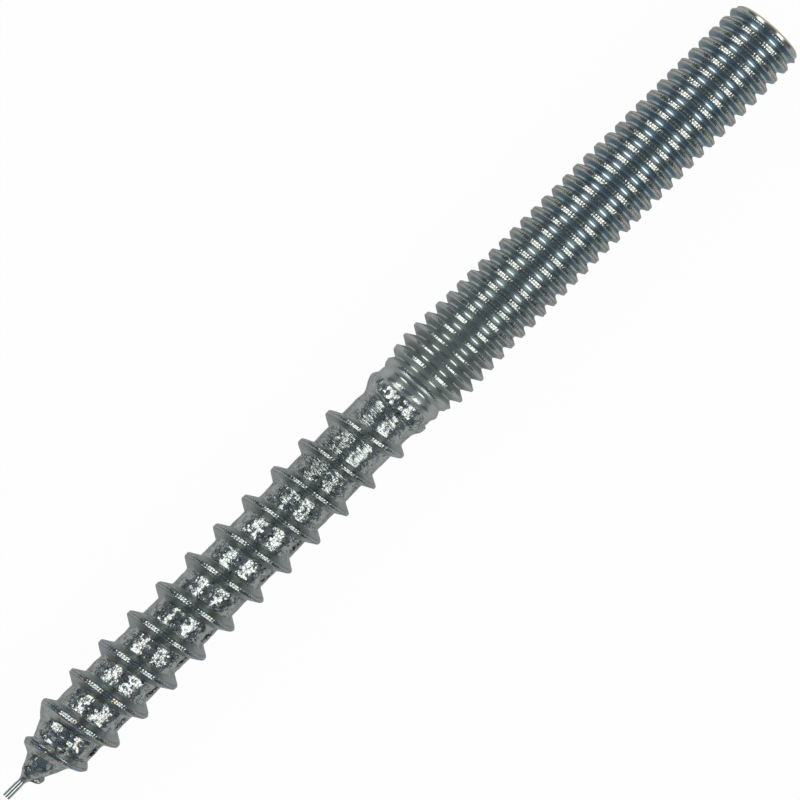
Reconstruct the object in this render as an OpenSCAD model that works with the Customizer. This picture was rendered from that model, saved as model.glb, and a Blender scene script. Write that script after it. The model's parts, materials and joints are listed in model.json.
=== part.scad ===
// Hanger bolt: a headless double-ended screw, cold rolled from one piece of steel wire.
// One end is a machine thread for a nut or insert, the other a coarse wood thread with a
// point. The bolt lies along X, machine end towards +X, with its origin on the axis where
// the machine thread starts. All sizes are in millimetres.

/* [Machine thread] */
// Nominal diameter of the machine thread
machine_d = 6; // [5:0.1:8]
// Pitch of the machine thread
machine_pitch = 1; // [0.8:0.05:1.25]
// Length of the machine thread, from the collar to the flat end
machine_len = 34.65; // [15:0.05:60]
// How far the rolled crests stay under the nominal radius along most of the thread
crest_shortfall = 0.2; // [0.05:0.01:0.25]
// How far the fuller crests beside the collar stay under the nominal radius
full_crest_shortfall = 0.03; // [0:0.01:0.1]
// Distance from the collar at which the crests are fullest
full_crest_at = 3; // [2:0.1:4]
// Distance from the collar past which the crests keep their lower height
full_crest_end = 8; // [5:0.1:12]
// How far the plain band at the flat end stays under the crests
end_drop = 0.22; // [0.1:0.01:0.3]
// Length of that band
end_band = 0.4; // [0.2:0.05:0.8]
// Chamfer on the flat end's edge
end_chamfer = 0.1; // [0.05:0.01:0.2]
// Angle by which the cropped flat end is out of square with the axis
end_skew = 3.4; // [0:0.1:5]
// Angle at which the machine crest passes the collar plane, from +Y towards +Z
machine_phase = -18; // [-180:1:180]

/* [Wood thread] */
// Diameter of the core between the wood thread's turns
wood_core_d = 4.3; // [3.6:0.05:5]
// Height of the wood thread above its core
wood_thread_h = 0.76; // [0.5:0.02:1]
// Pitch of the wood thread
wood_pitch = 2.69; // [2.2:0.01:3.2]
// Length of the parallel core under the wood thread
wood_len = 29.4; // [15:0.1:60]
// Width of the wood thread's blunt crest
wood_crest_w = 0.3; // [0.2:0.02:0.5]
// How far the crest's two corners are rounded down from its middle
wood_crest_round = 0.07; // [0.02:0.01:0.12]
// Height of the wood thread where it starts on the point
wood_start_h = 0.33; // [0.2:0.01:0.45]
// Length over which the wood thread grows to its full height
wood_growth = 6; // [3:0.5:14]
// Length over which the wood thread sinks into the core at the neck
wood_runout = 1.2; // [0.8:0.1:3]
// Angle at which the wood crest would pass the collar plane, from +Y towards +Z
wood_phase = 185; // [0:1:360]

/* [Neck and collar] */
// Length of the unthreaded neck and collar between the two threads
neck_len = 2.4; // [2:0.1:6]
// How far the neck is pinched in below the wood thread's core
neck_depth = 0.04; // [0.02:0.01:0.3]
// How far the collar bulges over the machine thread's root
collar_bulge = 0.17; // [0.05:0.01:0.3]
// Length of the collar's bulge
collar_len = 1; // [0.6:0.1:1.4]

/* [Point] */
// Length of the cone
point_len = 3.7; // [2.5:0.1:6]
// Diameter of the cone's small end
point_d = 0.84; // [0.7:0.02:1.2]
// Diameter of the nib that the thread rollers leave on the point
nib_d = 0.54; // [0.4:0.02:0.66]
// Length of the nib
nib_len = 1.7; // [0.8:0.1:2.4]
// Length over which the nib widens to meet the cone
nib_flare = 0.4; // [0.2:0.05:0.6]

/* [Thread form] */
// Half of the angle between the thread's two flanks
flank_angle = 30; // [28:1:32]
// Flat facets that make one turn of each thread
facets = 24; // [16:4:32]

/* [Hidden] */

steel = [0.52, 0.57, 0.60];
bury = 0.08;             // how deep a thread's foot lies under the core's surface
overrun = 1;             // how far a blank or a cutter runs past the face that it makes
blend_steps = 6;         // straight pieces in each eased stretch of the profile
core_facets = 96;

// Metric thread proportions for a nominal diameter and a pitch
root_depth = 0.61343 * machine_pitch;
root_r = machine_d / 2 - root_depth;
sharp_crest_w = machine_pitch / 8;

wood_core_r = wood_core_d / 2;
neck_r = wood_core_r - neck_depth;
collar_r = root_r + collar_bulge;
band_r = machine_d / 2 - crest_shortfall - end_drop;
point_r = point_d / 2;
nib_r = nib_d / 2;

neck_x = -neck_len;
point_x = neck_x - wood_len;
nib_x = point_x - point_len;
tip_x = nib_x - nib_len;
collar_x = -collar_len / 2;
pinch_x = neck_x + (neck_len - collar_len) / 2;
band_x = machine_len - end_band;

// 0 to 1 with a soft start and end
function ease(u) = (1 - cos(180 * max(0, min(1, u)))) / 2;

// Points of an eased stretch of the profile, from one [x, r] to another
function eased(from, to) = [
    for (i = [0 : blend_steps])
        [from[0] + (to[0] - from[0]) * i / blend_steps,
         from[1] + (to[1] - from[1]) * ease(i / blend_steps)]
];

// The core's outline as [x, r], from the nib to past the flat end
core_outline = concat(
    [[tip_x, nib_r]],
    eased([nib_x - nib_flare, nib_r], [nib_x, point_r]),
    [[point_x, wood_core_r]],
    eased([neck_x, wood_core_r], [pinch_x, neck_r]),
    eased([pinch_x + neck_depth, neck_r], [collar_x, collar_r]),
    eased([collar_x + neck_depth, collar_r], [collar_len / 4, root_r]),
    eased([band_x - 3 / 8 * machine_pitch, root_r], [band_x, band_r]),
    [[machine_len + overrun, band_r]]
);

function core_r(x) = lookup(x, core_outline);

// Crest radius of the machine thread: it rises out of the collar, is fullest a few turns
// on, and settles to the lower height of the long stretch
function machine_crest_r(x) =
    let (sunk = root_r - bury / 2,
         full = machine_d / 2 - full_crest_shortfall,
         low = machine_d / 2 - crest_shortfall)
    x < full_crest_at
        ? sunk + (full - sunk) * ease(x / full_crest_at)
        : full + (low - full) * ease((x - full_crest_at) / (full_crest_end - full_crest_at));

// Height of the wood thread over its core: low where it starts on the point, full along
// the core, and sunk just under the surface at the neck
wood_start_x = nib_x + wood_start_h + wood_crest_w / 2;
wood_end_x = neck_x + 3 / 16 * wood_pitch;
function wood_h(x) =
    let (grown = sqrt(max(0, min(1, (x - wood_start_x) / wood_growth))),
         h = wood_start_h + (wood_thread_h - wood_start_h) * grown,
         left = ease((wood_end_x - x) / wood_runout))
    h * left - bury / 2 * (1 - left);

// Corners of the machine thread's section at one place along the axis, as [x, r]. The
// lower crest is the wider, because the flanks keep their place.
function machine_section(x) =
    let (r = machine_crest_r(x),
         half = sharp_crest_w / 2 + (machine_d / 2 - r) * tan(flank_angle),
         foot_half = sharp_crest_w / 2 + (root_depth + bury) * tan(flank_angle),
         foot = min(core_r(x - foot_half), core_r(x + foot_half)) - bury)
    [[x - foot_half, foot], [x - half, r], [x + half, r], [x + foot_half, foot]];

// Corners of the wood thread's section, with a blunt rounded crest
function wood_section(x) =
    let (h = wood_h(x),
         half = wood_crest_w / 2,
         foot_half = half + (wood_thread_h + bury) * tan(flank_angle),
         foot = min(core_r(x - foot_half), core_r(x + foot_half)) - bury,
         r = core_r(x) + h,
         side = r - wood_crest_round * max(0, h) / wood_thread_h)
    [[x - foot_half, foot], [x - half, side], [x, r], [x + half, side], [x + foot_half, foot]];

// A rib wound right-handed round the X axis as one closed solid. Its stations stand half a
// facet off the vertical, so the bolt lies on a flat and not on a corner.
module wound_rib(pitch, phase, from_x, to_x, section) {
    first = ceil((from_x * 360 / pitch + phase) * facets / 360 - 0.5);
    last = floor((to_x * 360 / pitch + phase) * facets / 360 - 0.5);
    turns_at = function(i) (i + 0.5) * 360 / facets;
    rings = [for (i = [first : last])
        let (a = turns_at(i), corners = section((a - phase) * pitch / 360))
        [for (c = corners) [c[0], c[1] * cos(a), c[1] * sin(a)]]];
    n = len(rings[0]);
    ends = len(rings) - 1;
    polyhedron(
        points = [for (ring = rings) each ring],
        faces = concat(
            [[for (j = [n - 1 : -1 : 0]) j]],
            [[for (j = [0 : n - 1]) ends * n + j]],
            [for (i = [0 : ends - 1], j = [0 : n - 1])
                let (k = (j + 1) % n, a = i * n, b = a + n)
                each [[a + j, a + k, b + k], [a + j, b + k, b + j]]]
        )
    );
}

module core() {
    rotate([0, 90, 0]) rotate_extrude($fn = core_facets)
        polygon(concat(
            [[0, tip_x]],
            [for (p = core_outline) [p[1], p[0]]],
            [[0, machine_len + overrun]]
        ));
}

module machine_thread() {
    wound_rib(machine_pitch, machine_phase, 0, machine_len + overrun / 2,
        function(x) machine_section(x));
}

module wood_thread() {
    wound_rib(wood_pitch, wood_phase, wood_start_x, wood_end_x,
        function(x) wood_section(x));
}

// What is cut away past the flat end: the chamfer on the band's edge, and the taper that
// brings the last crest down to the band
module end_cut() {
    face_r = band_r - end_chamfer;
    taper_r = band_r + end_chamfer / 5;
    rim_r = machine_d / 2 + overrun;
    translate([machine_len, 0, 0]) rotate([0, 90, end_skew]) rotate_extrude($fn = core_facets)
        polygon([
            [0, 0],
            [face_r, 0],
            [taper_r, face_r - taper_r],
            [rim_r, face_r - taper_r - 2 * (rim_r - taper_r)],
            [rim_r, 2 * overrun],
            [0, 2 * overrun]
        ]);
}

module hanger_bolt() {
    color(steel) difference() {
        union() {
            core();
            machine_thread();
            wood_thread();
        }
        end_cut();
    }
}

hanger_bolt();
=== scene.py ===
# %% [markdown]
# # A hanger bolt in bright zinc-plated steel
#
# A hanger bolt is a screw with no head. One end carries a machine thread for a nut, the other
# a coarse wood thread with a point. Both threads are rolled: hard dies squeeze a length of wire
# until its skin flows up into ridges, and then the bolt is plated with zinc. This lesson models
# the bolt the way the dies make it, as one skin that two windings shape, and then gives that
# skin its worn, plated finish.
#
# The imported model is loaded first. It is the fixed frame: it says where the bolt lies, how long
# it is and where each thread starts, and nothing here moves or resizes it.

# %% The frame
import json
import math

import bpy
import numpy as np
from mathutils import Matrix, Vector


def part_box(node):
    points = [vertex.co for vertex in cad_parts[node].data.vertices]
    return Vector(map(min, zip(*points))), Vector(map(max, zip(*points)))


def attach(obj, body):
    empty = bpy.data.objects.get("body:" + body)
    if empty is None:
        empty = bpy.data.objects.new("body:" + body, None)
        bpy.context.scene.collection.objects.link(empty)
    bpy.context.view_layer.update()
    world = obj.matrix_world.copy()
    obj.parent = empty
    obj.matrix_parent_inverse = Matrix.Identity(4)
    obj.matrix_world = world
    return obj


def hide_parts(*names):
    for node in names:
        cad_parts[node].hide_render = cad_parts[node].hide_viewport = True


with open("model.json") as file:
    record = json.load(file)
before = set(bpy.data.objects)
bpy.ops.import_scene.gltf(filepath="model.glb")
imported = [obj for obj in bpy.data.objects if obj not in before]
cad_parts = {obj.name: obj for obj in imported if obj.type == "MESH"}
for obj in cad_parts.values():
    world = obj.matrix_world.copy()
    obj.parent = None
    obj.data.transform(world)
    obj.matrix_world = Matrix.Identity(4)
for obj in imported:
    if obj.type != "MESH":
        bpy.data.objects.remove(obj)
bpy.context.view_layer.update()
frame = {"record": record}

MM = 0.001
NODE = "hanger_bolt"
low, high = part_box(NODE)
mounts = {mount["name"]: mount for mount in frame["record"]["mounts"]}


def mm(length):
    """A length in millimetres, for printing."""
    return round(float(length) / MM, 3)


print("The bolt is", mm(high.x - low.x), "mm long")

# %% [markdown]
# ## The sizes
#
# The frame gives the places: the tip, the neck, the collar plane at x = 0 and the flat end. The
# thread's proportions are a standard: an M6 thread climbs 1 mm a turn, its flanks lean 30
# degrees, and its root lies 0.61343 pitches under its nominal radius. The dies didn't quite
# fill, so along most of the bolt the crests stop short of that radius and stay broad.
#
# A thread's phase is the angle at which its crest would pass the collar plane, counted from the
# Y axis towards the Z axis.

# %% Sizes of the machine thread
FLAT_X = mounts["flat_end"]["pos_m"][0]
FLAT_NORMAL = mounts["flat_end"]["axis"]

# The standard form, from the nominal radius and the pitch
MACHINE_R = 3.0 * MM
MACHINE_PITCH = 1.0 * MM
MACHINE_PHASE = math.radians(-18)
FLANK_SLOPE = 1 / math.tan(math.radians(30))
ROOT_DEPTH = 0.61343 * MACHINE_PITCH
ROOT_R = MACHINE_R - ROOT_DEPTH
SHARP_HALF_W = MACHINE_PITCH / 16
MACHINE_FOOT = SHARP_HALF_W + ROOT_DEPTH / FLANK_SLOPE

# What the dies made of it: a crest that is fullest at one place, and low from another one on
FULL_CREST_R = 2.97 * MM
FULL_CREST_X = 3.0 * MM
LOW_CREST_R = mounts["machine_thread"]["dims"]["r_mm"] * MM
LOW_CREST_X = 8.0 * MM

# The plain band before the flat end, the core's rise to it and the chamfer on its edge
BAND_R = LOW_CREST_R - 0.22 * MM
BAND_X = FLAT_X - 0.4 * MM
BAND_RISE = 0.375 * MM
END_CHAMFER = 0.1 * MM
print("Root diameter", mm(2 * ROOT_R), "mm, crest diameter", mm(2 * LOW_CREST_R), "mm")

# %% Sizes of the wood thread, the neck and the point
TIP_X = low.x
NECK_X = mounts["wood_thread"]["pos_m"][0]

WOOD_CORE_R = 2.15 * MM
WOOD_THREAD_H = mounts["wood_thread"]["dims"]["r_mm"] * MM - WOOD_CORE_R
WOOD_PITCH = 2.69 * MM
WOOD_PHASE = math.radians(185)
WOOD_CREST_HALF_W = 0.15 * MM
WOOD_START_H = 0.33 * MM
WOOD_GROWTH = 6.0 * MM
WOOD_RUNOUT = 1.2 * MM
WOOD_END_X = NECK_X + WOOD_PITCH * 3 / 16

# The neck is pinched in, and the collar bulges over the machine thread's root
NECK_BLEND = 0.04 * MM
NECK_R = WOOD_CORE_R - NECK_BLEND
COLLAR_R = ROOT_R + 0.17 * MM
COLLAR_LEN = 1.0 * MM
COLLAR_X = -COLLAR_LEN / 2
PINCH_X = (NECK_X - COLLAR_LEN) / 2

# The point is a cone, and the nib on it is what the dies' tips left
POINT_R = 0.42 * MM
POINT_LEN = 3.7 * MM
NIB_R = 0.27 * MM
NIB_LEN = 1.7 * MM
NIB_FLARE = 0.4 * MM
NIB_X = TIP_X + NIB_LEN
POINT_X = NECK_X - mounts["wood_thread"]["dims"]["length_mm"] * MM + POINT_LEN
WOOD_START_X = NIB_X + WOOD_START_H + WOOD_CREST_HALF_W
print("Core diameter", mm(2 * WOOD_CORE_R), "mm, thread height", mm(WOOD_THREAD_H), "mm")

# %% [markdown]
# ## The core under the threads
#
# Before a thread has any height, the bolt is a turned shape: a thin nib, a cone, a cylinder, a
# pinched neck and a rough collar. It could be drawn as a profile and spun, but both windings
# stand on it, so it is a function: `core_r` says how thick that shape is at any place along the
# axis. Stretches that the dies squeezed are eased, so they start and end softly.

# %% The core's radius
def ease(u):
    return (1 - np.cos(np.pi * np.clip(u, 0, 1))) / 2


def rise(x, start, end):
    """0 up to start and 1 from end on, eased between them. Start may be the greater one."""
    return ease((x - start) / (end - start))


def core_r(x):
    nib = NIB_R + (POINT_R - NIB_R) * rise(x, NIB_X - NIB_FLARE, NIB_X)
    cone = POINT_R + (WOOD_CORE_R - POINT_R) * (x - NIB_X) / (POINT_X - NIB_X)
    neck = WOOD_CORE_R + (NECK_R - WOOD_CORE_R) * rise(x, NECK_X, PINCH_X)
    swell_x = PINCH_X + NECK_BLEND
    collar = NECK_R + (COLLAR_R - NECK_R) * rise(x, swell_x, COLLAR_X)
    fall_x = COLLAR_X + NECK_BLEND
    root = COLLAR_R + (ROOT_R - COLLAR_R) * rise(x, fall_x, COLLAR_LEN / 4)
    root = root + (BAND_R - ROOT_R) * rise(x, BAND_X - BAND_RISE, BAND_X)
    return np.select(
        [x < NIB_X, x < POINT_X, x < NECK_X, x < swell_x, x < fall_x],
        [nib, cone, np.full_like(x, WOOD_CORE_R), neck, collar],
        root,
    )


shown = {"nib": TIP_X, "wood core": POINT_X, "neck": PINCH_X, "collar": COLLAR_X}
for name, place_r in zip(shown, core_r(np.array(list(shown.values())))):
    print(name, "radius", mm(place_r), "mm")

# %% [markdown]
# ## Winding a skin
#
# A thread is one section repeated on a helix, and Blender's Screw modifier does just that. The
# section starts as one edge of a plane: the other edge is deleted, and the one that is left is
# cut into columns, one pitch wide in all. The modifier turns it round the X axis and moves it
# on by a pitch each turn, so every turn's last column meets the next turn's first, and the
# whole winding is a closed skin. A thread could also be cut out of a cylinder with a boolean,
# but that leaves no clean rows of points to shape.
#
# A few small helpers come first: one opens a mesh for editing with nothing selected, one selects
# vertices, and two read and write all of a mesh's points at once.

# %% Helpers for a mesh
def edit(obj):
    bpy.ops.object.select_all(action="DESELECT")
    obj.select_set(True)
    bpy.context.view_layer.objects.active = obj
    bpy.ops.object.mode_set(mode="EDIT")
    bpy.ops.mesh.select_mode(type="VERT")
    bpy.ops.mesh.select_all(action="DESELECT")


def select_vertices(obj, chosen):
    bpy.ops.object.mode_set(mode="OBJECT")
    obj.data.vertices.foreach_set("select", chosen)
    bpy.ops.object.mode_set(mode="EDIT")


def coordinates(obj):
    flat = np.empty(3 * len(obj.data.vertices), np.float32)
    obj.data.vertices.foreach_get("co", flat)
    return flat.reshape(-1, 3).astype(float)


def set_coordinates(obj, points):
    obj.data.vertices.foreach_set("co", points.astype(np.float32).ravel())
    obj.data.update()


print("A mesh can now be opened for editing, and its points read and written")

# %% A strip, wound round the axis
STEPS = 80


def wound_strip(name, pitch, phase, from_x, to_x, columns):
    """A winding of one-pitch strips, with its first strip's middle near from_x, above the axis."""
    turned_up = (phase - math.pi / 2) / (2 * math.pi)
    start_x = pitch * (math.floor(from_x / pitch + turned_up) - turned_up)
    turns = math.ceil((to_x - start_x) / pitch)
    bpy.ops.object.select_all(action="DESELECT")
    bpy.ops.mesh.primitive_plane_add(size=pitch)
    strip = bpy.context.object
    strip.name = name
    edit(strip)
    select_vertices(strip, coordinates(strip)[:, 1] > 0)
    bpy.ops.mesh.delete(type="VERT")
    bpy.ops.mesh.select_all(action="SELECT")
    bpy.ops.mesh.subdivide(number_cuts=columns - 1)
    bpy.ops.transform.translate(value=(start_x, pitch / 2, ROOT_R))
    bpy.ops.object.mode_set(mode="OBJECT")
    screw = strip.modifiers.new("winding", "SCREW")
    screw.axis = "X"
    screw.screw_offset = pitch
    screw.iterations = turns
    screw.steps = screw.render_steps = STEPS
    bpy.ops.object.modifier_apply(modifier=screw.name)
    print(name, turns, "turns,", len(strip.data.polygons), "faces")
    return strip, start_x


print("A winding has a ring of columns every", 360 / STEPS, "degrees")

# %% [markdown]
# ## Shaping a winding
#
# The plain winding is then pushed to the real section, column by column. Each ring of columns
# stands at one place on the helix, so the section can change along the bolt. The function that
# gives the section also says how far each column belongs to the crest and to the flanks. That
# is kept on the mesh with the column's place on the helix, because the finish needs it: nicks
# belong to crests, a blue film to flanks.
#
# Where two of the section's surfaces meet, the lesser or the greater of the two is taken, with
# a soft corner as wide as `blend`, because a rolled edge is never quite sharp. Two more helpers
# say how far something has come, `portion`, and how near it is to one place, `hump`.

# %% Soft corners, portions and humps
def soft_least(a, b, blend):
    return np.minimum(a, b) - np.maximum(blend - np.abs(a - b), 0) ** 2 / (4 * blend)


def soft_most(a, b, blend):
    return np.maximum(a, b) + np.maximum(blend - np.abs(a - b), 0) ** 2 / (4 * blend)


def portion(length, full):
    """0 where length is nothing or less, 1 where it is full or more."""
    return np.clip(length / full, 0, 1)


def hump(x, middle, spread):
    """1 at the middle, and next to nothing two spreads away from it."""
    return np.exp(-((x - middle) / spread) ** 2)


print("A soft corner lies", -soft_least(0, 0, 1.0), "of its blend under a sharp one")

# %% Pushing the columns to their section
def mirrored(half):
    """Columns from one root over the crest to the next root, from their crest-to-root half."""
    return np.concatenate([-half[:, :0:-1], half], 1)


def shape_winding(strip, start_x, pitch, columns, section):
    """Moves each column to its place, and keeps its place on the helix as mesh attributes."""
    points = coordinates(strip)
    # The modifier lists the points ring by ring, and each ring has the strip's own order
    order = np.argsort(points[: columns + 1, 0])
    step = np.arange(len(points) // (columns + 1))
    index = (step[:, None] * (columns + 1) + order[None, :]).ravel()
    middle = (start_x + pitch * step / STEPS)[:, None]
    angle = (math.pi / 2 + 2 * math.pi * step / STEPS)[:, None]
    offset, radius, *parts = section(middle)
    x = middle + offset
    shaped = np.empty_like(points)
    shaped[index] = np.stack([x, radius * np.cos(angle), radius * np.sin(angle)], -1).reshape(-1, 3)
    set_coordinates(strip, shaped)
    # The place on the helix: how far round in metres, and how far off the crest's middle
    helix = np.zeros_like(points)
    helix[index] = np.stack([angle * ROOT_R + 0 * x, offset + 0 * x, 0 * x], -1).reshape(-1, 3)
    place = strip.data.attributes.new("helix", "FLOAT_VECTOR", "POINT")
    place.data.foreach_set("vector", helix.astype(np.float32).ravel())
    for name, part in zip(("crest", "flank"), parts):
        values = np.zeros(len(points), np.float32)
        values[index] = (part + 0 * x).ravel()
        strip.data.attributes.new(name, "FLOAT", "POINT").data.foreach_set("value", values)
    print(strip.name, "reaches", mm(radius.max()), "mm from the axis")


print("A half of 0, 1 and 2 is mirrored to", mirrored(np.array([[0, 1, 2]]))[0])

# %% [markdown]
# ## The machine thread
#
# The crest rises out of the collar, is fullest three turns on, then settles lower and broader,
# because the flanks keep their place. Rolled crests have a signature: the steel flows up both
# flanks of the die and meets in the middle, so a crest that isn't full keeps two lips with a
# shallow seam between them. The section puts columns on each lip and in the seam, and the rest
# on the flanks and the root.
#
# Beside the collar the dies bit deeper: the root there is a narrow groove with crisp corners,
# and the first crest leans, with its side towards the collar still low.

# %% How high the machine crest stands
# Before the collar plane the crest lies under the skin, and past it the thread starts as a low step
SUNK = 0.4 * MM
STARTING_CREST_H = 0.12 * MM
STARTING_LEN = 0.3 * MM


def machine_crest_r(x):
    started = ROOT_R - np.clip(-x, 0, SUNK) + STARTING_CREST_H * rise(x, 0, STARTING_LEN)
    growing = started + (FULL_CREST_R - started) * rise(x, STARTING_LEN, FULL_CREST_X)
    settling = FULL_CREST_R + (LOW_CREST_R - FULL_CREST_R) * rise(x, FULL_CREST_X, LOW_CREST_X)
    return np.where(x < FULL_CREST_X, growing, settling)


for turn in (0, 1, 2, 3, 8):
    print("Crest at", turn, "mm:", mm(machine_crest_r(np.array([turn * MM]))[0]), "mm")

# %% Where the machine thread's columns stand
# Shares of the crest's half width, places on each side of its corner, shares of the way down
# the flank, and places by the flank's foot
CREST_SHARES = (0, 0.35, 0.7)
CORNER_INSIDE = 0.01 * MM
CORNER_OUTSIDE = 0.03 * MM
FLANK_SHARES = (0, 0.35, 0.7, 1)
BEFORE_FOOT = 0.06 * MM
PAST_FOOT = (-0.015 * MM, 0.02 * MM, 0.05 * MM)


def machine_columns(half_w):
    crest = [share * half_w for share in CREST_SHARES] + [half_w - CORNER_INSIDE]
    top = half_w + CORNER_OUTSIDE
    flank = [top + (MACHINE_FOOT - BEFORE_FOOT - top) * share for share in FLANK_SHARES]
    root = [0 * half_w + MACHINE_FOOT + past for past in PAST_FOOT]
    return mirrored(np.concatenate([*crest, *flank, *root, 0 * half_w + MACHINE_PITCH / 2], 1))


MACHINE_COLUMNS = machine_columns(np.array([[SHARP_HALF_W]])).shape[1] - 1
print("The machine thread's section has", MACHINE_COLUMNS, "faces")

# %% The machine thread's crest and flanks, for the finish
CREST_FADE = 0.05 * MM
FLANK_FADE = 0.04 * MM
FLANK_PAST_FOOT = 0.05 * MM


def machine_parts(offset, half_w, risen):
    past_crest = np.abs(offset) - half_w
    before_root = MACHINE_FOOT + FLANK_PAST_FOOT - np.abs(offset)
    on_crest = (1 - portion(past_crest, CREST_FADE)) * risen
    on_flank = portion(past_crest, FLANK_FADE) * portion(before_root, FLANK_FADE) * risen
    return on_crest, on_flank


parts_at_corner = machine_parts(np.array([SHARP_HALF_W]), SHARP_HALF_W, 1)
print("At a crest's corner: crest", parts_at_corner[0][0], "and flank", parts_at_corner[1][0])

# %% The deep roots beside the collar
DEEP_UNTIL_X, DEEP_NO_MORE_X = 3 * MM, 9 * MM
ROOT_DROP = 0.06 * MM
ROOT_WIDENING = 0.05 * MM


def deep_rooted(x):
    """1 beside the collar, where the root is a narrow groove, falling to 0 further on."""
    return rise(x, 0, STARTING_LEN) * rise(x, DEEP_NO_MORE_X, DEEP_UNTIL_X)


print("The root lies up to", mm(ROOT_DROP), "mm deeper beside the collar")

# %% The machine thread's section
# A starting crest is narrow and widens as it rises. The whole thread shows from RISEN_H on.
STARTING_HALF_W = 0.03 * MM
STARTING_SPREAD = 0.35
LEAST_H = 0.02 * MM
RISEN_H = 0.2 * MM
# The first crest's lean
LEAN_H = 0.15 * MM
LEAN_X = 1.5 * MM
LEAN_SPREAD = 0.5 * MM
# The corners' softness, and the shares by which they are crisper beside the collar
CREST_BLEND, CRISPER_CREST = 0.07 * MM, 0.4
ROOT_BLEND, CRISPER_ROOT = 0.09 * MM, 0.7
LEAST_ROOT_BLEND = 0.3
# The seam, its width as a share of the crest's, and how much broader than sharp a crest is
# that has all of its seam
SEAM_DEPTH = 0.02 * MM
SEAM_SPREAD = 0.3
SEAM_NEEDS_W = 0.12 * MM
SAME_PLACE = 1e-6 * MM


def machine_section(middle):
    crest_r = machine_crest_r(middle)
    risen = portion(crest_r - core_r(middle), RISEN_H)
    height = np.maximum(crest_r - ROOT_R, LEAST_H)
    half_w = np.minimum(MACHINE_FOOT - height / FLANK_SLOPE, STARTING_HALF_W + STARTING_SPREAD * height)
    offset = machine_columns(half_w)
    deep = deep_rooted(middle)
    slope = (height + ROOT_DROP * deep) / (MACHINE_FOOT + ROOT_WIDENING * deep - half_w)
    flanks = crest_r + (half_w - np.abs(offset)) * slope
    lean = LEAN_H * hump(middle, LEAN_X, LEAN_SPREAD)
    top = crest_r - lean * (0.5 - np.clip(offset / (2 * half_w), -0.5, 0.5))
    early = deep_rooted(middle + offset)
    core = core_r(middle + offset) - ROOT_DROP * early
    rib = soft_least(flanks, top, CREST_BLEND * (1 - CRISPER_CREST * early))
    root_blend = ROOT_BLEND * (1 - CRISPER_ROOT * early) * np.maximum(risen, LEAST_ROOT_BLEND)
    radius = soft_most(rib, core, root_blend)
    radius = np.where(np.abs(offset) > MACHINE_PITCH / 2 - SAME_PLACE, core, radius)
    seam = hump(offset, 0, SEAM_SPREAD * half_w) * portion(half_w - SHARP_HALF_W, SEAM_NEEDS_W)
    return offset, radius - SEAM_DEPTH * seam * risen, *machine_parts(offset, half_w, risen)


# %% Winding the machine thread
machine, machine_start = wound_strip("machine_winding", MACHINE_PITCH, MACHINE_PHASE,
                                     PINCH_X - MACHINE_PITCH, FLAT_X + MACHINE_PITCH, MACHINE_COLUMNS)
shape_winding(machine, machine_start, MACHINE_PITCH, MACHINE_COLUMNS, machine_section)

# %% [markdown]
# ## The wood thread
#
# Its turns stand far apart, so most columns lie on the core between them. The thread starts
# bluntly on the cone, grows along it, and sinks away in half a turn before the neck. The dies
# met the wire a little unevenly: the crest is narrower on one side of the bolt and, towards the
# point, broader on top. The second turn leans back towards the point, and the last turns are
# steeper.

# %% How high the wood thread stands
WOOD_START_LEN = 0.25 * MM


def wood_height(x):
    grown = np.sqrt(portion(x - WOOD_START_X, WOOD_GROWTH))
    begun = rise(x, WOOD_START_X - WOOD_START_LEN, WOOD_START_X)
    left = rise(x, WOOD_END_X, WOOD_END_X - WOOD_RUNOUT)
    return (WOOD_START_H + (WOOD_THREAD_H - WOOD_START_H) * grown) * begun * left


print("Thread height a turn from the point:", mm(wood_height(WOOD_START_X + WOOD_PITCH)), "mm")

# %% The wood thread's crest and flanks, for the finish
WOOD_CREST_FADE = 0.1 * MM
WOOD_FLANK_FADE = 0.08 * MM
WOOD_FOOT_FADE = 0.15 * MM


def wood_parts(offset, half_w, rib, risen):
    past_crest = np.abs(offset) - np.maximum(half_w, WOOD_CREST_HALF_W)
    on_crest = (1 - portion(past_crest, WOOD_CREST_FADE)) * risen
    on_flank = portion(past_crest, WOOD_FLANK_FADE) * portion(rib, WOOD_FOOT_FADE)
    return on_crest, on_flank


print("Past the wood crest's corner the crest fades over", mm(WOOD_CREST_FADE), "mm")

# %% The wood thread's section
# Columns from the crest's middle to halfway between two turns, closest where the section bends
WOOD_HALF_COLUMNS = np.array([0, 0.05, 0.1, 0.15, 0.2, 0.27, 0.37, 0.47, 0.57, 0.68, 0.84, 1.0, 1.17,
                              WOOD_PITCH / MM / 2]) * MM
WOOD_COLUMNS = 2 * (len(WOOD_HALF_COLUMNS) - 1)
# The thread counts as risen at this height, and its rib shows in full at a quarter of it
WOOD_RISEN_H = 0.3 * MM
RIB_SHOWS = 0.25
# Seam and soft corners
WOOD_SEAM_DEPTH, WOOD_SEAM_SPREAD = 0.02 * MM, 0.05 * MM
WOOD_CREST_BLEND, LEAST_CREST_BLEND = 0.11 * MM, 0.05
WOOD_ROOT_BLEND = 0.1 * MM
# The crest is narrower on one side of the bolt, and broader on top towards the point
NARROWER = 0.25
BROADER = 0.5
BROAD_FROM_X, BROADEST_X = -8 * MM, -20 * MM
# The second turn's flank towards the point leans, and the last turns' flanks are steeper
LEANING = 0.5
LEANING_X, LEANING_SPREAD = -30.95 * MM, 0.5 * MM
STEEPER = 0.2
STEEP_FROM_X, STEEPEST_X = -9 * MM, -6 * MM


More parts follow.
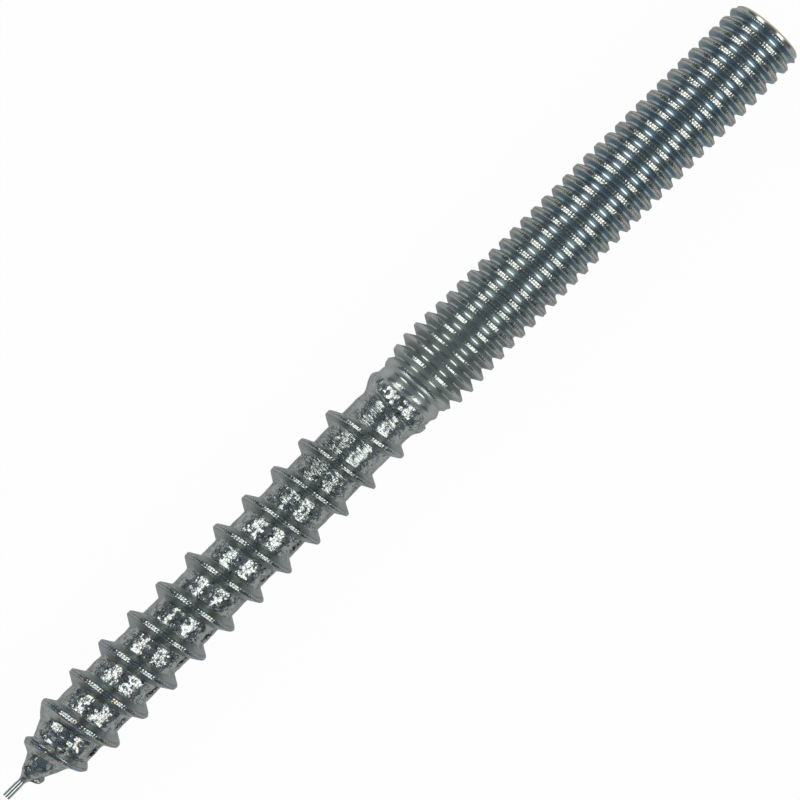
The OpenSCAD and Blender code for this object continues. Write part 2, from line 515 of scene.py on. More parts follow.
def wood_section(middle):
    height = wood_height(middle)
    risen = portion(height, WOOD_RISEN_H)
    offset = mirrored(np.repeat(WOOD_HALF_COLUMNS[None, :], len(middle), 0))
    angle = 2 * math.pi * middle / WOOD_PITCH + WOOD_PHASE
    broad = np.maximum(np.sin(angle), 0) * rise(middle, BROAD_FROM_X, BROADEST_X)
    half_w = WOOD_CREST_HALF_W * (1 - NARROWER + NARROWER * np.cos(angle) + BROADER * broad)
    leaning = LEANING * hump(middle, LEANING_X, LEANING_SPREAD) * (offset < 0)
    steeper = 1 + STEEPER * rise(middle, STEEP_FROM_X, STEEPEST_X)
    flanks = height + (half_w - np.abs(offset)) * FLANK_SLOPE * (1 - leaning) * steeper
    crest_blend = WOOD_CREST_BLEND * np.maximum(risen, LEAST_CREST_BLEND) * half_w / WOOD_CREST_HALF_W
    rib = soft_least(flanks, height, crest_blend)
    rib = soft_most(rib, 0 * rib, WOOD_ROOT_BLEND) * portion(risen, RIB_SHOWS)
    rib = np.where(np.abs(offset) > WOOD_HALF_COLUMNS[-2] + SAME_PLACE, 0, rib)
    radius = core_r(middle + offset) + rib
    seam = WOOD_SEAM_DEPTH * hump(offset, 0, WOOD_SEAM_SPREAD) * risen
    return offset, radius - seam, *wood_parts(offset, half_w, rib, risen)


# %% Winding the wood thread
wood, wood_start = wound_strip("wood_winding", WOOD_PITCH, WOOD_PHASE,
                               TIP_X - WOOD_PITCH, PINCH_X + WOOD_PITCH, WOOD_COLUMNS)
shape_winding(wood, wood_start, WOOD_PITCH, WOOD_COLUMNS, wood_section)

# %% [markdown]
# ## Trimming and joining the windings
#
# A winding ends in a ragged helix, so each one was wound too long. Everything past an end plane
# is pressed flat onto it: all those columns land on the same small circle and merge into it, and
# the end is square and clean. At the neck both windings are pressed onto one plane, where they
# share the same ring of points and join without a seam. Bisecting them there would leave two
# rings whose points don't match.

# %% Trimming
JOIN_X = PINCH_X + NECK_BLEND / 2


def press(points, beyond, plane_x, radius):
    angle = np.arctan2(points[:, 2], points[:, 1])
    flat = np.stack([plane_x + 0 * angle, radius * np.cos(angle), radius * np.sin(angle)], -1)
    return np.where(beyond[:, None], flat, points)


wood_points = coordinates(wood)
wood_points = press(wood_points, wood_points[:, 0] > JOIN_X, JOIN_X, NECK_R)
wood_points = press(wood_points, wood_points[:, 0] < TIP_X, TIP_X, NIB_R)
set_coordinates(wood, wood_points)
machine_points = coordinates(machine)
set_coordinates(machine, press(machine_points, machine_points[:, 0] < JOIN_X, JOIN_X, NECK_R))
print("The windings meet at x =", mm(JOIN_X), "mm")

# %% Joining
MERGE = 0.0005 * MM
bpy.ops.object.select_all(action="DESELECT")
wood.select_set(True)
machine.select_set(True)
bpy.context.view_layer.objects.active = machine
bpy.ops.object.join()
bolt = machine
bolt.name = "hanger_bolt_steel"
bolt.data.name = bolt.name
edit(bolt)
bpy.ops.mesh.select_all(action="SELECT")
bpy.ops.mesh.remove_doubles(threshold=MERGE)
bpy.ops.mesh.dissolve_degenerate(threshold=MERGE)
bpy.ops.object.mode_set(mode="OBJECT")
print("Joined:", len(bolt.data.vertices), "vertices")

# %% [markdown]
# ## The flat end
#
# A shear crops the wire, so the end is plain and slightly out of square. The bolt is first
# bisected along two planes just inside the end, which gives the chamfer its edges. A cone that
# no point may stand above then forms the chamfer, a plain band behind it, and the last crest's
# slope down to that band. Last, everything past the end's own plane is cropped off.
#
# Bisect takes points nearer to its plane than a threshold as lying on it. The usual threshold
# is a tenth of a millimetre, which is as large as the chamfer, so it is set far smaller.

# %% Cutting across the end
CHAMFER_TOP = 1.2 * END_CHAMFER


def cut_across(depth, crop=False):
    edit(bolt)
    bpy.ops.mesh.select_all(action="SELECT")
    bpy.ops.mesh.bisect(plane_co=(FLAT_X - depth / FLAT_NORMAL[0], 0, 0), plane_no=FLAT_NORMAL,
                        clear_outer=crop, threshold=MERGE)
    bpy.ops.object.mode_set(mode="OBJECT")


cut_across(CHAMFER_TOP)
cut_across(CHAMFER_TOP / 2)
skew = math.degrees(math.atan2(FLAT_NORMAL[1], FLAT_NORMAL[0]))
print("The end is", round(skew, 1), "degrees out of square")

# %% Chamfer, band and crop
# How far from the end the last crest starts to rise, and how fast
TAPER_FROM = 0.34 * MM
TAPER_SLOPE = 1.4


def end_depth(points):
    """How far each point lies inside the flat end's plane."""
    return (FLAT_X - points[:, 0]) * FLAT_NORMAL[0] - points[:, 1] * FLAT_NORMAL[1]


FACE_R = BAND_R - END_CHAMFER
points = coordinates(bolt)
depth = end_depth(points)
taper = FACE_R + CHAMFER_TOP + np.maximum(depth - TAPER_FROM, 0) * TAPER_SLOPE
allowed = np.where(depth < CHAMFER_TOP, FACE_R + depth, taper)
cut_down = np.minimum(1, allowed / np.hypot(points[:, 1], points[:, 2]))
points[:, 1:] *= cut_down[:, None]
set_coordinates(bolt, points)
cut_across(0, crop=True)
print("Points on the end's plane:", int((np.abs(end_depth(coordinates(bolt))) < MERGE).sum()))

# %% [markdown]
# ## Closing the two ends
#
# The winding is still open at the nib and at the flat end, so each hole's edge gets a face. The
# flat end then gets a ring just inside its edge: the face is extruded without moving it, and
# the new face is made a little smaller. The rim's cream, a painted reflection of the white paper
# on the chamfer, fades out across that narrow ring, so the rest of the face stays grey.

# %% Faces on the ends, and a ring inside the edge
FACE_SHARE = 0.96
edit(bolt)
bpy.ops.mesh.select_non_manifold(extend=False, use_wire=False, use_boundary=True,
                                 use_multi_face=False, use_non_contiguous=False, use_verts=False)
bpy.ops.mesh.edge_face_add()
bpy.ops.mesh.select_all(action="DESELECT")
select_vertices(bolt, end_depth(coordinates(bolt)) < MERGE)
bpy.ops.mesh.extrude_region_move()
bpy.ops.transform.resize(value=(FACE_SHARE,) * 3, center_override=(FLAT_X, 0, 0))
bpy.ops.mesh.select_all(action="SELECT")
bpy.ops.mesh.normals_make_consistent(inside=False)
bpy.ops.object.mode_set(mode="OBJECT")
print("Bolt:", len(bolt.data.vertices), "vertices,", len(bolt.data.polygons), "faces")

# %% [markdown]
# ## The worked skin
#
# Rolling leaves a skin that is far from smooth. Only the crests and flanks touched the dies'
# polished faces: the core between the wood thread's turns is wavy, and the collar, where the two
# pairs of dies met, is lumpy. These forms are large enough to show in the outline, so they are
# moved into the mesh and not left to the material. A Displace modifier could do that too, but
# each part of the bolt has a skin of its own, and a formula says where each one ends.
#
# `ripples` gives a smooth random height: it adds waves that run in random directions, and whose
# lengths are near one size. Its random numbers are seeded, so each run gives the same skin.

# %% Where each point lies
RIB_H = 0.3 * MM
WOOD_SKIN_X, WOOD_SKIN_FADE = -1.3 * MM, 0.3 * MM
CONE_SKIN_FADE = 0.5 * MM
COLLAR_EDGE_X, COLLAR_EDGE_FADE = -1.38 * MM, 0.06 * MM
COLLAR_END_FADE = 0.08 * MM
END_MARGIN = 0.3 * MM
points = coordinates(bolt)
x = points[:, 0]
radius = np.hypot(points[:, 1], points[:, 2])
angle = np.arctan2(points[:, 2], points[:, 1])
rib = portion(radius - core_r(x), RIB_H)
on_wood = rise(x, WOOD_SKIN_X, WOOD_SKIN_X - WOOD_SKIN_FADE) * rise(x, NIB_X, NIB_X + CONE_SKIN_FADE)
on_collar = rise(x, COLLAR_EDGE_X, COLLAR_EDGE_X + COLLAR_EDGE_FADE) * rise(x, 0, -COLLAR_END_FADE)
inside_ends = rise(x, TIP_X, TIP_X + END_MARGIN) * rise(end_depth(points), 0, END_MARGIN)
print("Points on the wood core:", int((on_wood * (1 - rib) > 0.5).sum()))
print("Points on the collar:", int((on_collar > 0.5).sum()))

# %% Waves in the core, lumps in the collar
# How far apart the hills lie and how high they are: on the core, the collar and the threads
WAVE, WAVE_H = 0.8 * MM, 0.012 * MM
RIPPLE, RIPPLE_H = 0.4 * MM, 0.005 * MM
LUMP, LUMP_H = 0.5 * MM, 0.009 * MM
SWAY, SWAY_H = 2.5 * MM, 0.012 * MM
WOBBLE, WOBBLE_H = 0.6 * MM, 0.008 * MM
RIB_CALMER = 0.7
HIGHER_FROM_X, HIGHEST_X = -27 * MM, -32 * MM
random = np.random.default_rng(7)


def ripples(points, size, waves=40):
    """A smooth random height with hills about one size apart, from seeded plane waves."""
    way = random.normal(size=(3, waves))
    way /= np.linalg.norm(way, axis=0)
    pull = way * 2 * math.pi / (size * random.uniform(0.8, 1.6, waves))
    return np.cos(points @ pull + random.uniform(0, 2 * math.pi, waves)).sum(1) / math.sqrt(waves / 2)


higher = 1 + rise(x, HIGHER_FROM_X, HIGHEST_X)
core_waves = ripples(points, WAVE) * WAVE_H * higher + ripples(points, RIPPLE) * RIPPLE_H
relief = on_wood * (1 - RIB_CALMER * rib) * core_waves
relief += on_collar * ripples(points, LUMP) * LUMP_H
relief += rib * ripples(points, SWAY) * SWAY_H
relief += rib * ripples(points, WOBBLE) * WOBBLE_H
print("The skin moves by", mm(np.abs(relief).max()), "mm at most")

# %% [markdown]
# ## The collar's shoulder, and pillows on the cone
#
# Steel that the two pairs of dies pushed ahead of them piled up between them. The collar stands
# out more on one side, and on top it starts with a full shoulder. Where the cone ends, in front
# of the second turn, the skin on top rose in two soft pillows, which the lamps pick out.

# %% Shoulder, bulge and pillows
# The top starts and is full at these heights, as shares of the radius
TOP_FROM, TOP_FULL = 0.35, 0.8
SHOULDER_X, SHOULDER_LEN = -1.4 * MM, 0.45 * MM
# The bulge's middle and its angle in radians. It sinks in as much on the other side.
BULGE_X, BULGE_ANGLE = -0.35 * MM, 0.3
BULGE_SPREAD, BULGE_H = 0.4 * MM, 0.06 * MM
# Where the pillows lie, and where the wave that makes them starts
PILLOW_X, PILLOW_SPREAD, PILLOW_H = -31.95 * MM, 0.8 * MM, 0.08 * MM
PILLOW_START, PILLOW_LEN = -32.45 * MM, 1.1 * MM

upper = rise(np.sin(angle), TOP_FROM, TOP_FULL)
shoulder = NECK_R + (COLLAR_R - NECK_R) * rise(x, SHOULDER_X, SHOULDER_X + SHOULDER_LEN)
relief += np.maximum(shoulder - core_r(x), 0) * upper * (x > SHOULDER_X) * (x < COLLAR_X)
relief += hump(x, BULGE_X, BULGE_SPREAD) * BULGE_H * np.cos(angle - BULGE_ANGLE)
# A hump with a flat top and steep sides, which leaves two pillows of the wave
on_cone = np.exp(-((x - PILLOW_X) / PILLOW_SPREAD) ** 4)
relief -= on_cone * upper * PILLOW_H * np.sin(2 * math.pi * (x - PILLOW_START) / PILLOW_LEN)
print("The skin now moves by", mm(np.abs(relief).max()), "mm at most")

# %% [markdown]
# ## Laps
#
# Where a die let go of the wire, the skin folded over itself and left a lap: a ragged step along
# the bolt, with the skin standing higher on the side away from the top, and a near-black painted
# shadow in the fold. The laps lie in one row, one between two turns of the thread. They could be
# sculpted by hand. A formula keeps the step and its painted shadow together: the step goes into
# the mesh, and how far each point lies from the row is kept, so that the finish can paint the
# shadow's line in the same place.

# %% A row of laps
# The row's angle, the laps' middles in mm, and how far from its middle each is full and ends
LAP_ANGLE = math.radians(156)
LAP_PLACES = (-31.1, -28.45, -25.5, -22.7, -20.3, -14.8, -12.0)
LAP_HALF_LEN, LAP_END = 0.294 * MM, 0.714 * MM
# The step's height, half its width and the length of the slope down to it. The row wanders.
LAP_H = 0.06 * MM
LAP_STEP = 0.09 * MM
LAP_SLOPE = 1.2 * MM
LAP_WANDER, LAP_WANDER_H = 0.9 * MM, 0.07 * MM

lengthwise = points * (1, 0, 0)
from_lap = (angle - LAP_ANGLE) * WOOD_CORE_R + ripples(lengthwise, LAP_WANDER) * LAP_WANDER_H
in_lap = sum(rise(np.abs(x - place * MM), LAP_END, LAP_HALF_LEN) for place in LAP_PLACES)
in_lap *= on_wood * (1 - rib) * (angle > 0)
relief -= in_lap * LAP_H * rise(from_lap, LAP_STEP, -LAP_STEP) * rise(from_lap, -LAP_SLOPE, 0)
print(len(LAP_PLACES), "laps,", int((in_lap > 0.5).sum()), "points")

# %% [markdown]
# ## The nib's waist and the collar's end
#
# The dies' tips pinched the nib where it leaves the cone. Towards the machine thread the collar
# ends in a low step, which comes earlier on the bolt's -Y side. The last turns of the wood thread
# drifted a little towards the tip as the wire left the dies.

# %% Pinch, collar edge and drift
WAIST_X, WAIST_SPREAD, WAIST_H = NIB_X - 0.05 * MM, 0.3 * MM, 0.11 * MM
# How much earlier the collar ends, and the angles off the Y axis, in radians, between which it
# gets there
COLLAR_ENDS_EARLIER = 0.4 * MM
AROUND_FROM, AROUND_FULL = 2.1, 3.0
COLLAR_STEP = 0.08 * MM
# The drift of the thread, and the places between which it comes and goes
DRIFT = 0.18 * MM
DRIFT_FROM_X, DRIFT_FULL_X = -9 * MM, -5 * MM
DRIFT_FADES_X, DRIFT_ENDS_X = -3.4 * MM, -2.4 * MM

relief *= inside_ends
relief -= WAIST_H * hump(x, WAIST_X, WAIST_SPREAD)
collar_end = -COLLAR_ENDS_EARLIER * rise(np.abs(angle), AROUND_FROM, AROUND_FULL)
past_end = rise(x, collar_end, collar_end + COLLAR_STEP) * (x < COLLAR_LEN / 2)
relief -= (core_r(x) - ROOT_R) * past_end * (1 - rib)
points[:, 1:] *= ((radius + relief) / radius)[:, None]
points[:, 0] -= DRIFT * rise(x, DRIFT_FROM_X, DRIFT_FULL_X) * rise(x, DRIFT_ENDS_X, DRIFT_FADES_X)
set_coordinates(bolt, points)
print("The bolt now reaches", mm(np.hypot(points[:, 1], points[:, 2]).max()), "mm from the axis")

# %% [markdown]
# ## What the finish needs to know
#
# The finish changes from place to place: grains and cracks on the core, dots on the crests, and
# a pale cream rim where the shear cropped the wire, which paints the chamfer's reflection of the
# white paper. Each of these is kept on the mesh as a number at every point, and a material can
# read such an attribute by its name. A painted picture could say the same, but it would need an
# unwrapped mesh. The numbers run from 0 to 1, apart from the distance to the row of laps, which
# is in millimetres.
#
# The crest's own values were kept when the threads were wound. They have to end where the plain
# band begins. Grains lie on the core and the collar, and on the second wood turn's leaning
# flank, which the dies hardly polished.

# %% Attributes for the finish
def attribute(name, values):
    made = bolt.data.attributes.new(name, "FLOAT", "POINT")
    made.data.foreach_set("value", values.astype(np.float32))
    print(name, "from", round(float(values.min()), 2), "to", round(float(values.max()), 2))


BAND_ENDS, CREST_FROM = 0.42 * MM, 0.48 * MM
depth = end_depth(points)
on_crest = np.empty(len(x), np.float32)
crest_data = bolt.data.attributes["crest"].data
crest_data.foreach_get("value", on_crest)
past_band = on_crest * rise(depth, BAND_ENDS, CREST_FROM)
crest_data.foreach_set("value", past_band.astype(np.float32))
print("The crest's own values end", mm(BAND_ENDS), "mm before the flat end")

# %% Where the skin is only worked, and where it is folded
LESS_AT_NECK, NECK_FROM_X, NECK_FULL_X = 0.4, -7 * MM, -4 * MM
COLLAR_WORKED = 0.8
LEANING_WORKED = 0.9
LEANING_FLANK_X, LEANING_FLANK_SPREAD = LEANING_X - 0.5 * MM, 0.4 * MM
ABOVE_MIDDLE = 0.1
near_neck = rise(x, NECK_FROM_X, NECK_FULL_X)
worked = np.maximum(on_wood * (1 - rib) * (1 - LESS_AT_NECK * near_neck), COLLAR_WORKED * on_collar)
leaning = hump(x, LEANING_FLANK_X, LEANING_FLANK_SPREAD) * (np.sin(angle) > ABOVE_MIDDLE)
attribute("core", np.maximum(worked, LEANING_WORKED * leaning * (1 - on_crest)))
attribute("lap", from_lap / MM)
attribute("folded", in_lap)

# %% Where the shear cropped it: the rim and the face inside it
RIM_FULL, RIM_ENDS = 0.1 * MM, 0.13 * MM
FACE_DEPTH, FACE_MARGIN = 0.02 * MM, 0.05 * MM
on_face = (depth < FACE_DEPTH) & (radius < FACE_R - FACE_MARGIN)
# The rim carries a pale cream that paints the chamfer's reflection of the white paper, with a duller, less
# metallic gloss
attribute("rim", rise(depth, RIM_ENDS, RIM_FULL) * (1 - on_face))
attribute("cropped", 1.0 * on_face)

# %% [markdown]
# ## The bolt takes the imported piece's place
#
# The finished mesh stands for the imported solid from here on: it rides on the same body, replaces
# that solid in the picture, and its one material has a slot of its own. Smooth shading is kept
# to edges under 40 degrees, so the chamfer and the flat end stay crisp.

# %% Riding, replacing and shading
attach(bolt, "root")
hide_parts(NODE)
edit(bolt)
bpy.ops.object.mode_set(mode="OBJECT")
bpy.ops.object.shade_smooth_by_angle(angle=math.radians(40))
print("The bolt rides on the root body")

# %% [markdown]
# ## The finish: bright zinc plate
#
# The bolt is low-carbon steel, rolled, then plated with a few thousandths of a millimetre of
# zinc and dipped in a clear passivate. To the eye that is a cool grey metal, bright and almost
# a mirror where the dies polished it, broken into small facets where the skin was only worked,
# with a faint blue or straw film where the passivate is thicker.
#
# The material is built from nodes. `linear` turns a written colour into the numbers that Blender
# works with, `add` puts in one node with its settings and its links, and `empty_material` makes
# a material with no nodes yet.

# %% Helpers for materials
def linear(code):
    channels = [int(code[i:i + 2], 16) / 255 for i in (1, 3, 5)]
    return [c / 12.92 if c <= 0.04045 else ((c + 0.055) / 1.055) ** 2.4 for c in channels] + [1]


def add(tree, kind, links=None, **settings):
    """Adds a node. Each input named in links gets a value, or a link from a node or a socket."""
    made = tree.nodes.new(kind)
    for name, value in settings.items():
        setattr(made, name, value)
    for name, value in (links or {}).items():
        if isinstance(value, bpy.types.Node):
            value = value.outputs[0]
        if isinstance(value, bpy.types.NodeSocket):
            tree.links.new(value, made.inputs[name])
        else:
            made.inputs[name].default_value = value
    return made


def empty_material(name):
    made = bpy.data.materials.new(name)
    made.use_nodes = True
    made.node_tree.nodes.clear()
    return made


print("A mid grey, #808080, is", round(linear("#808080")[0], 3), "in linear light")

# %% What the finish reads
zinc = empty_material("zinc_plated_steel")
tree = zinc.node_tree
place = add(tree, "ShaderNodeTexCoord").outputs["Object"]
axes = add(tree, "ShaderNodeSeparateXYZ", {0: place})
along = axes.outputs["X"]
helix = add(tree, "ShaderNodeAttribute", attribute_name="helix").outputs["Vector"]
crest, flank, core, lap, folded, rim, cropped = [
    add(tree, "ShaderNodeAttribute", attribute_name=name).outputs["Fac"]
    for name in ("crest", "flank", "core", "lap", "folded", "rim", "cropped")]
print("The finish reads its place and eight attributes")

# %% [markdown]
# ### Grains
#
# Worked steel breaks into grains, and each grain's face leans its own way, so a lamp lights some
# and misses the next. A Voronoi texture gives the cells. The height inside a cell is a plane
# with that cell's own random tilt. Real grains are about 0.02 to 0.05 mm: these are 0.18 mm, as
# fine as the render can show. The collar and the cone were squeezed less, and their grains are
# coarser. All heights in this material are in millimetres.

# %% Tilted grains
GRAIN, GRAIN_TILT = 0.18 * MM, 0.28
COLLAR_GRAIN, COLLAR_TILT = 1.7 * GRAIN, 0.42
CONE_GRAIN, CONE_TILT = 2.2 * GRAIN, 0.34
COLLAR_FROM_X, COLLAR_FULL_X = -1.45 * MM, -1.35 * MM
CONE_FROM_X, CONE_FULL_X = -30.5 * MM, -31.5 * MM


def tilted_grains(size, slope):
    cells = add(tree, "ShaderNodeTexVoronoi", {"Vector": place, "Scale": 1 / size})
    inside = add(tree, "ShaderNodeVectorMath", {0: place, 1: cells.outputs["Position"]}, operation="SUBTRACT")
    tilt = add(tree, "ShaderNodeVectorMath", {0: cells.outputs["Color"], 1: (0.5, 0.5, 0.5)},
               operation="SUBTRACT")
    plane = add(tree, "ShaderNodeVectorMath", {0: inside, 1: tilt}, operation="DOT_PRODUCT").outputs["Value"]
    return add(tree, "ShaderNodeMath", {0: plane, 1: slope / MM}, operation="MULTIPLY")


at_collar = add(tree, "ShaderNodeMapRange", {"Value": along, "From Min": COLLAR_FROM_X,
                                             "From Max": COLLAR_FULL_X})
at_cone = add(tree, "ShaderNodeMapRange", {"Value": along, "From Min": CONE_FROM_X, "From Max": CONE_FULL_X})
grains = add(tree, "ShaderNodeMix", {0: at_collar, 2: tilted_grains(GRAIN, GRAIN_TILT),
                                     3: tilted_grains(COLLAR_GRAIN, COLLAR_TILT)})
grains = add(tree, "ShaderNodeMix", {0: at_cone, 2: grains, 3: tilted_grains(CONE_GRAIN, CONE_TILT)})
print("Grains", mm(GRAIN), "to", mm(CONE_GRAIN), "mm wide")

# %% A fine unevenness over the grains
FINE, FINE_H = 0.1 * MM, 0.012
fine = add(tree, "ShaderNodeTexNoise", {"Vector": place, "Scale": 1 / FINE, "Detail": 1.0})
grains = add(tree, "ShaderNodeMath", {0: fine, 1: FINE_H, 2: grains}, operation="MULTIPLY_ADD")
print("The grains' faces are uneven by", FINE_H, "mm")

# %% [markdown]
# ### Scores round the neck
#
# Towards the neck the wire slid through the dies and was scored round and round. The scores are
# a flat noise wrapped round the core and stretched: 0.12 mm along the bolt, 0.9 mm round it.
# They deepen from the middle of the wood thread to the neck, are deeper on one side, and hardly
# reach the collar. Just before the collar the dies left one smooth, narrow ring.

# %% Scores
SCORE_W, SCORE_LEN = 0.12 * MM, 0.9 * MM
SHALLOW_SCORE, DEEP_SCORE = 0.006, 0.11
SHALLOW_X, DEEP_X = -14 * MM, -4 * MM
DEEPER_SIDE, SIDE_FROM_Y, SIDE_FULL_Y = 2.2, -0.3 * MM, 0.6 * MM
OFF_COLLAR = 0.85
turned = add(tree, "ShaderNodeMath", {0: axes.outputs["Y"], 1: axes.outputs["Z"]}, operation="ARCTAN2")
arc = add(tree, "ShaderNodeMath", {0: turned, 1: WOOD_CORE_R}, operation="MULTIPLY")
wrapped = add(tree, "ShaderNodeCombineXYZ", {"X": along, "Y": arc})
wrapped = add(tree, "ShaderNodeMapping", {"Vector": wrapped, "Scale": (1 / SCORE_W, 1 / SCORE_LEN, 1)})
scores = add(tree, "ShaderNodeTexNoise", {"Vector": wrapped, "Scale": 1.0, "Detail": 1.0},
             noise_dimensions="2D")
deeper = add(tree, "ShaderNodeMapRange", {"Value": along, "From Min": SHALLOW_X, "From Max": DEEP_X,
                                          "To Min": SHALLOW_SCORE, "To Max": DEEP_SCORE})
one_side = add(tree, "ShaderNodeMapRange", {"Value": axes.outputs["Y"], "From Min": SIDE_FROM_Y,
                                            "From Max": SIDE_FULL_Y, "To Min": 1.0, "To Max": DEEPER_SIDE})
off_collar = add(tree, "ShaderNodeMath", {0: at_collar, 1: -OFF_COLLAR, 2: 1.0}, operation="MULTIPLY_ADD")
for share in (deeper, one_side, off_collar):
    scores = add(tree, "ShaderNodeMath", {0: scores, 1: share}, operation="MULTIPLY")
skin = add(tree, "ShaderNodeMath", {0: grains, 1: scores}, operation="ADD")
skin = add(tree, "ShaderNodeMath", {0: skin, 1: core}, operation="MULTIPLY")
print("Scores", mm(SCORE_W), "mm apart and", mm(SCORE_LEN), "mm long")

# %% A smooth ring before the collar
RING_X = -1.41 * MM
RING_HALF_W, RING_ENDS = 0.04 * MM, 0.1 * MM
RING_SMOOTH = 0.85
ring = add(tree, "ShaderNodeMath", {0: along, 1: RING_X}, operation="SUBTRACT")
ring = add(tree, "ShaderNodeMath", {0: ring}, operation="ABSOLUTE")
ring = add(tree, "ShaderNodeMapRange", {"Value": ring, "From Min": RING_HALF_W, "From Max": RING_ENDS,
                                        "To Min": 1.0, "To Max": 0.0})
off_ring = add(tree, "ShaderNodeMath", {0: ring, 1: -RING_SMOOTH, 2: 1.0}, operation="MULTIPLY_ADD")
skin = add(tree, "ShaderNodeMath", {0: skin, 1: off_ring}, operation="MULTIPLY")
print("The ring is", mm(2 * RING_HALF_W), "mm wide")

# %% [markdown]
# ### Painted shade in cracks and laps
#
# The cracks between the grains are darkened with painted shade, in patches. The shade follows
# the same cells: the texture's distance to a cell's edge is small on the lines between the
# grains. The collar gets more of it on its -Y half than on its +Y half. The laps get a near-black
# painted shadow where the mesh has its steps, made ragged by a noise.

# %% Painted shade in the cracks between the grains
# A crack's full width and its end, as shares of a grain
CRACK_FULL, CRACK_ENDS = 0.02, 0.16
PATCH, PATCH_FROM, PATCH_FULL = 0.45 * MM, 0.42, 0.58
# What is added to the collar's painted crack shade on its -Y half and on its +Y half
MORE_CRACK_SHADE, LESS_CRACK_SHADE = 0.3, -0.35
HALVES_MEET = 0.5 * MM
edges = add(tree, "ShaderNodeTexVoronoi", {"Vector": place, "Scale": 1 / GRAIN}, feature="DISTANCE_TO_EDGE")
patches = add(tree, "ShaderNodeTexNoise", {"Vector": place, "Scale": 1 / PATCH, "Detail": 2.0})
# How much painted shade each point gets: dark on the lines between the grains
crack_shade = add(tree, "ShaderNodeMapRange", {"Value": edges, "From Min": CRACK_FULL, "From Max": CRACK_ENDS,
                                          "To Min": 1.0, "To Max": 0.0})
shaded_patches = add(tree, "ShaderNodeMapRange", {"Value": patches, "From Min": PATCH_FROM, "From Max": PATCH_FULL})
crack_shade = add(tree, "ShaderNodeMath", {0: crack_shade, 1: shaded_patches}, operation="MULTIPLY")
crack_shade = add(tree, "ShaderNodeMath", {0: crack_shade, 1: core}, operation="MULTIPLY", use_clamp=True)
one_half = add(tree, "ShaderNodeMapRange", {"Value": axes.outputs["Y"], "From Min": -HALVES_MEET,
                                            "From Max": HALVES_MEET, "To Min": MORE_CRACK_SHADE,
                                            "To Max": LESS_CRACK_SHADE})
crack_shade_share = add(tree, "ShaderNodeMath", {0: at_collar, 1: one_half, 2: 1.0}, operation="MULTIPLY_ADD")
crack_shade = add(tree, "ShaderNodeMath", {0: crack_shade, 1: crack_shade_share}, operation="MULTIPLY")
print("Cracks up to", mm(CRACK_ENDS * GRAIN), "mm wide on each side")

# %% The laps' painted shadow
# Half the line's width and its soft end, in mm, as the distance to the row is
LAP_LINE, LAP_LINE_ENDS = 0.07, 0.14
RAGGED = 0.25 * MM
ragged = add(tree, "ShaderNodeTexNoise", {"Vector": place, "Scale": 1 / RAGGED, "Detail": 2.0})
ragged = add(tree, "ShaderNodeMath", {0: ragged, 1: 0.5}, operation="SUBTRACT")
lap_shadow = add(tree, "ShaderNodeMath", {0: lap, 1: ragged}, operation="ADD")
lap_shadow = add(tree, "ShaderNodeMath", {0: lap_shadow}, operation="ABSOLUTE")
lap_shadow = add(tree, "ShaderNodeMapRange", {"Value": lap_shadow, "From Min": LAP_LINE, "From Max": LAP_LINE_ENDS,
                                          "To Min": 1.0, "To Max": 0.0})
lap_shadow = add(tree, "ShaderNodeMath", {0: lap_shadow, 1: folded}, operation="MULTIPLY")
print("The laps' lines are", 2 * LAP_LINE, "mm wide")

# %% [markdown]
# ### Lips on the crests
#
# The steel's flow up the dies ends in fine lips along each crest, with seams between them:
# 0.2 mm apart on the wood thread, 0.25 mm on the machine thread. The dies chattered, so each lip
# is a row of beads, about 0.2 mm long. The seams and the gaps between the beads are darkened with
# painted shade. Real lips are finer: these are as fine as the render can show. The turns on each
# side of the collar are full and polished, and have few or none.

# %% Painted shade in the seams between the lips
WOOD_LIP, MACHINE_LIP = 0.2 * MM, 0.25 * MM
SEAM_FROM, SEAM_FULL = 0.5, 0.9
# The polished stretch's middle, how far it reaches each way, and where the lips are full again
POLISHED_X, POLISHED_HALF_LEN, BEADED_FROM = 1.5 * MM, 3 * MM, 7 * MM
across = add(tree, "ShaderNodeSeparateXYZ", {0: helix})
on_machine = add(tree, "ShaderNodeMath", {0: along, 1: 0.0}, operation="GREATER_THAN")
lips = add(tree, "ShaderNodeMapRange", {"Value": on_machine, "To Min": 2 * math.pi / WOOD_LIP,
                                        "To Max": 2 * math.pi / MACHINE_LIP})
phase = add(tree, "ShaderNodeMath", {0: across.outputs["Y"], 1: lips}, operation="MULTIPLY")
seam_shade = add(tree, "ShaderNodeMath", {0: phase}, operation="COSINE")
seam_shade = add(tree, "ShaderNodeMapRange", {"Value": seam_shade, "From Min": SEAM_FROM, "From Max": SEAM_FULL})
beyond = add(tree, "ShaderNodeMath", {0: along, 1: POLISHED_X}, operation="SUBTRACT")
beyond = add(tree, "ShaderNodeMath", {0: beyond}, operation="ABSOLUTE")
late = add(tree, "ShaderNodeMapRange", {"Value": beyond, "From Min": POLISHED_HALF_LEN,
                                        "From Max": BEADED_FROM})
seam_shade = add(tree, "ShaderNodeMath", {0: seam_shade, 1: late}, operation="MULTIPLY")
print("Lips", mm(WOOD_LIP), "and", mm(MACHINE_LIP), "mm apart")

# %% Painted shade in the gaps between the beads
BEAD, BEAD_VARIES = 0.2 * MM, 0.6
